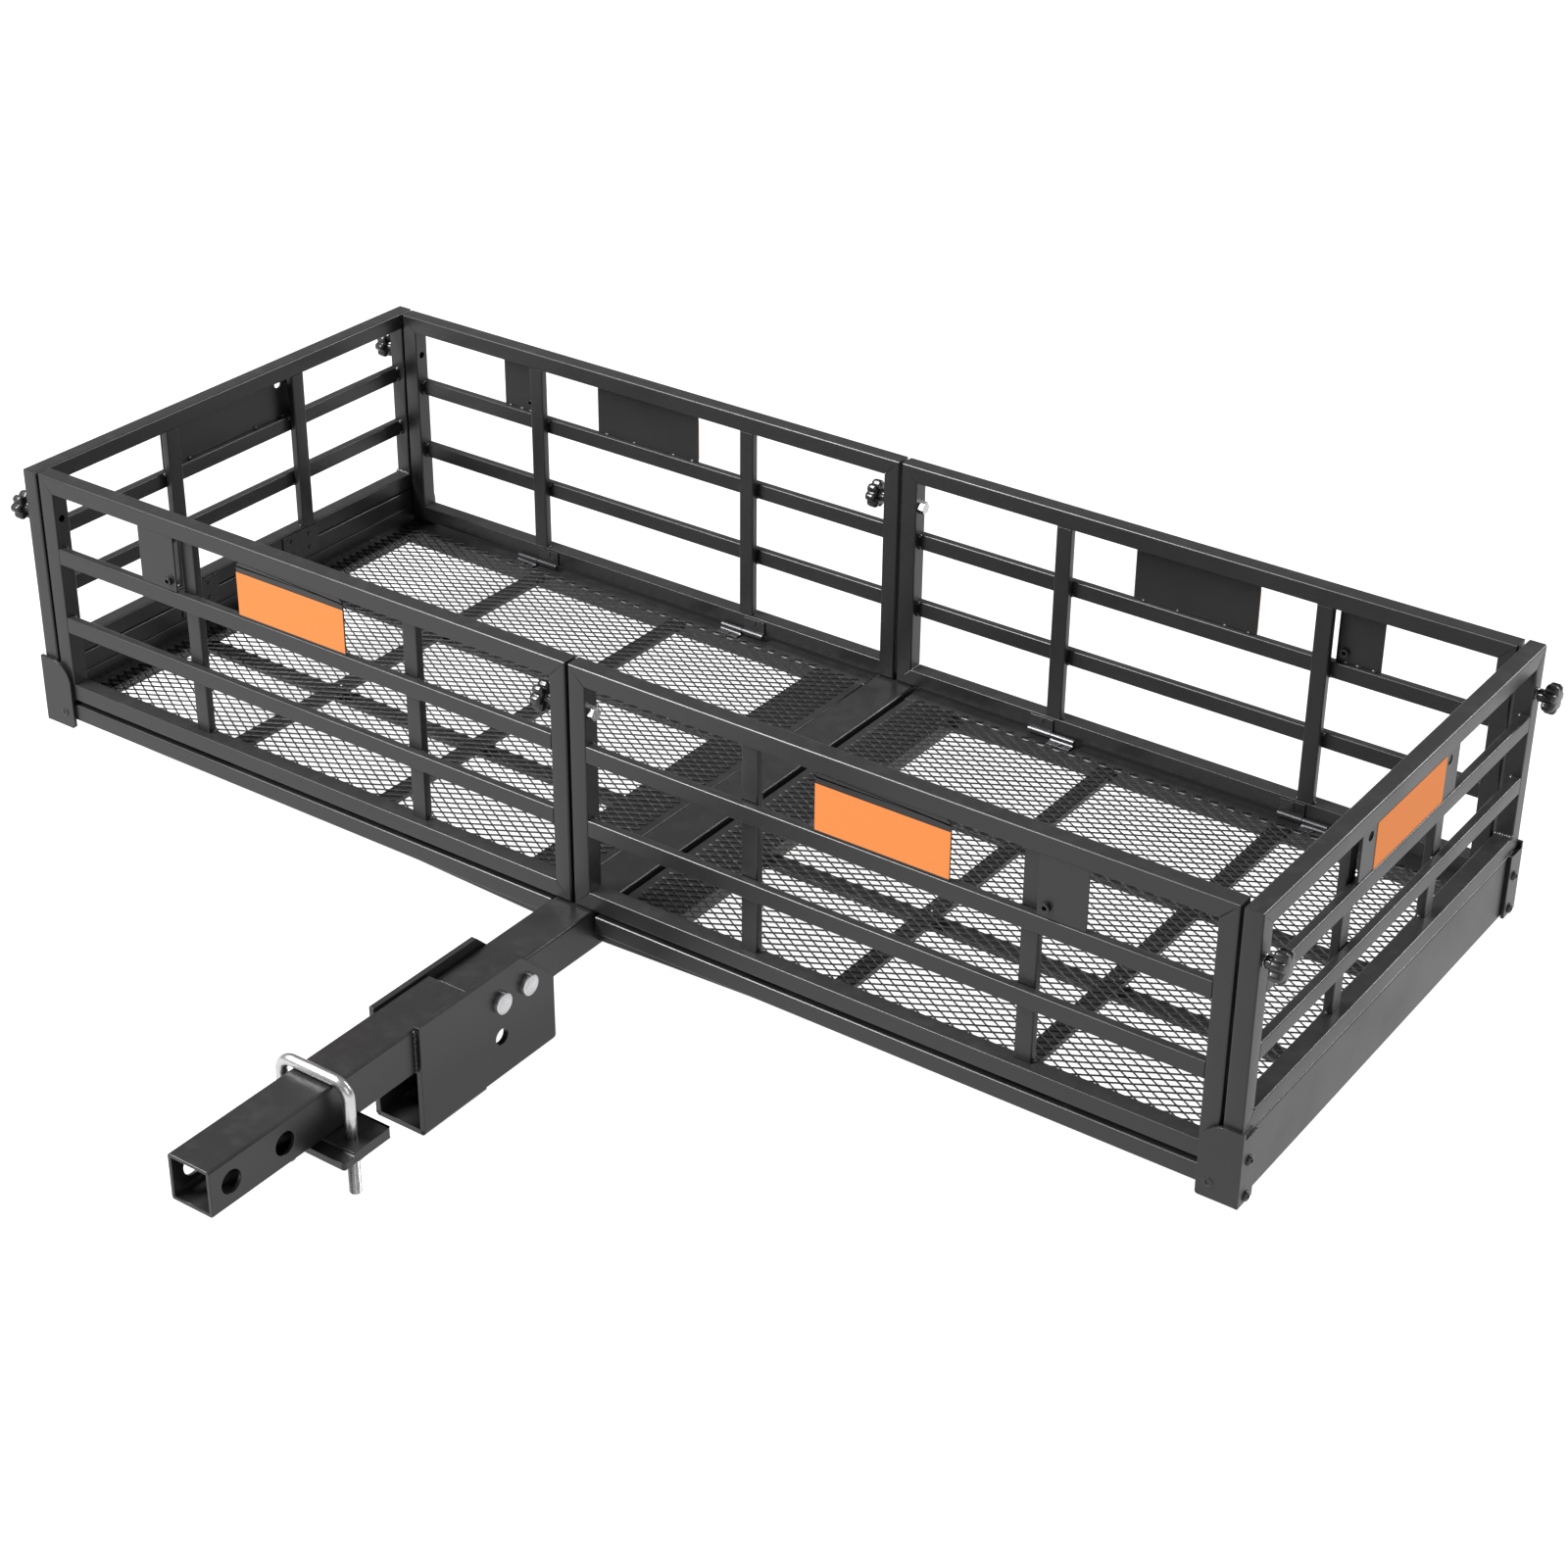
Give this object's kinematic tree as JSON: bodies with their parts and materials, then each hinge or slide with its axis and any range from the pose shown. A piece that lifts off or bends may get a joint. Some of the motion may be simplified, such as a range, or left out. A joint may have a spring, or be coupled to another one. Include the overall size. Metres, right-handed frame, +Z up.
{
  "type": "hitch cargo carrier",
  "caption": "Fold-up steel basket carrier on a square hitch shank, with barred side panels that fold down, a mesh floor, locking knobs and a clamp for the shank.",
  "frame": {"origin": "centre of the front hitch pin hole, on the shank's axis", "axes": "+X along the basket's length, +Y from the vehicle towards the basket's rear, +Z up"},
  "size_m": [1.571, 1.1547, 0.392],
  "materials": {
    "black_coat": "satin powder coat",
    "bolt_steel": "bright plated",
    "zinc_rod": "zinc plated",
    "dark_steel": "satin black oxide",
    "reflector": "flat orange reflective sheet",
    "black_plastic": "matte moulded"
  },
  "bodies": {
    "shank": {"shank_tube": "black_coat", "pivot_bracket": "black_coat", "pivot_bolt": "bolt_steel", "bolt_nuts": "bolt_steel", "u_bolt": "zinc_rod", "clamp_plate": "black_coat", "clamp_nuts": "zinc_rod"},
    "tray": {"center_tube": "black_coat", "tube_cap": "black_plastic", "tray_frame_left": "black_coat", "tray_frame_right": "black_coat", "tray_bars": "black_coat", "tray_mesh_left": "black_coat", "tray_mesh_right": "black_coat", "end_board_left": "black_coat", "end_board_right": "black_coat", "kick_strips": "black_coat", "braces": "black_coat", "side_angles": "black_coat", "tray_screws": "dark_steel", "corner_gussets": "black_coat", "gusset_bolts": "dark_steel", "tray_hinges": "black_coat", "hinge_pins": "dark_steel", "end_hinges": "black_coat", "end_left_frame": "black_coat", "end_left_bars": "black_coat", "end_right_frame": "black_coat", "end_right_bars": "black_coat", "end_badges": "black_coat", "end_reflectors": "reflector"},
    "lock_bolt": {"lock_bolt": "bolt_steel"},
    "front_left_panel": {"front_left_frame": "black_coat", "front_left_bars": "black_coat", "front_left_plates": "black_coat", "front_left_reflector": "reflector", "front_left_fittings": "black_coat"},
    "front_right_panel": {"front_right_frame": "black_coat", "front_right_bars": "black_coat", "front_right_plates": "black_coat", "front_right_reflector": "reflector", "front_right_fittings": "black_coat"},
    "rear_left_panel": {"rear_left_frame": "black_coat", "rear_left_bars": "black_coat", "rear_left_plates": "black_coat", "rear_left_reflector": "reflector", "rear_left_fittings": "black_coat"},
    "rear_right_panel": {"rear_right_frame": "black_coat", "rear_right_bars": "black_coat", "rear_right_plates": "black_coat", "rear_right_reflector": "reflector", "rear_right_fittings": "black_coat"},
    "knob_corner_front_left": {"knob_corner_front_left": "black_plastic"},
    "knob_corner_rear_left": {"knob_corner_rear_left": "black_plastic"},
    "knob_corner_front_right": {"knob_corner_front_right": "black_plastic"},
    "knob_corner_rear_right": {"knob_corner_rear_right": "black_plastic"},
    "knob_center_front": {"knob_center_front": "black_plastic"},
    "knob_center_rear": {"knob_center_rear": "black_plastic"}
  },
  "joints": [
    {"name": "tray_fold", "type": "hinge", "parent": "shank", "child": "tray", "pos_m": [0, 0.36, -0.006], "axis": [1, 0, 0], "range_deg": [0, 90]},
    {"name": "lock_bolt_slide", "type": "slide", "parent": "shank", "child": "lock_bolt", "axis": [1, 0, 0], "range_m": [0, 0.095]},
    {"name": "front_left_fold", "type": "hinge", "parent": "tray", "child": "front_left_panel", "pos_m": [-0.3705, 0.536, 0.018], "axis": [-1, 0, 0], "range_deg": [0, 90]},
    {"name": "front_right_fold", "type": "hinge", "parent": "tray", "child": "front_right_panel", "pos_m": [0.3705, 0.536, 0.018], "axis": [-1, 0, 0], "range_deg": [0, 90]},
    {"name": "rear_left_fold", "type": "hinge", "parent": "tray", "child": "rear_left_panel", "pos_m": [-0.3705, 1.098, 0.018], "axis": [1, 0, 0], "range_deg": [0, 90]},
    {"name": "rear_right_fold", "type": "hinge", "parent": "tray", "child": "rear_right_panel", "pos_m": [0.3705, 1.098, 0.018], "axis": [1, 0, 0], "range_deg": [0, 90]},
    {"name": "knob_corner_front_left_turn", "type": "hinge", "parent": "tray", "child": "knob_corner_front_left", "pos_m": [-0.762, 0.5215, 0.242], "axis": [1, 0, 0], "continuous": true},
    {"name": "knob_corner_rear_left_turn", "type": "hinge", "parent": "tray", "child": "knob_corner_rear_left", "pos_m": [-0.762, 1.1125, 0.242], "axis": [1, 0, 0], "continuous": true},
    {"name": "knob_corner_front_right_turn", "type": "hinge", "parent": "tray", "child": "knob_corner_front_right", "pos_m": [0.762, 0.5215, 0.242], "axis": [1, 0, 0], "continuous": true},
    {"name": "knob_corner_rear_right_turn", "type": "hinge", "parent": "tray", "child": "knob_corner_rear_right", "pos_m": [0.762, 1.1125, 0.242], "axis": [1, 0, 0], "continuous": true},
    {"name": "knob_center_front_turn", "type": "hinge", "parent": "front_left_panel", "child": "knob_center_front", "pos_m": [-0.022, 0.522, 0.242], "axis": [1, 0, 0], "continuous": true},
    {"name": "knob_center_rear_turn", "type": "hinge", "parent": "rear_left_panel", "child": "knob_center_rear", "pos_m": [-0.022, 1.112, 0.242], "axis": [1, 0, 0], "continuous": true}
  ]
}
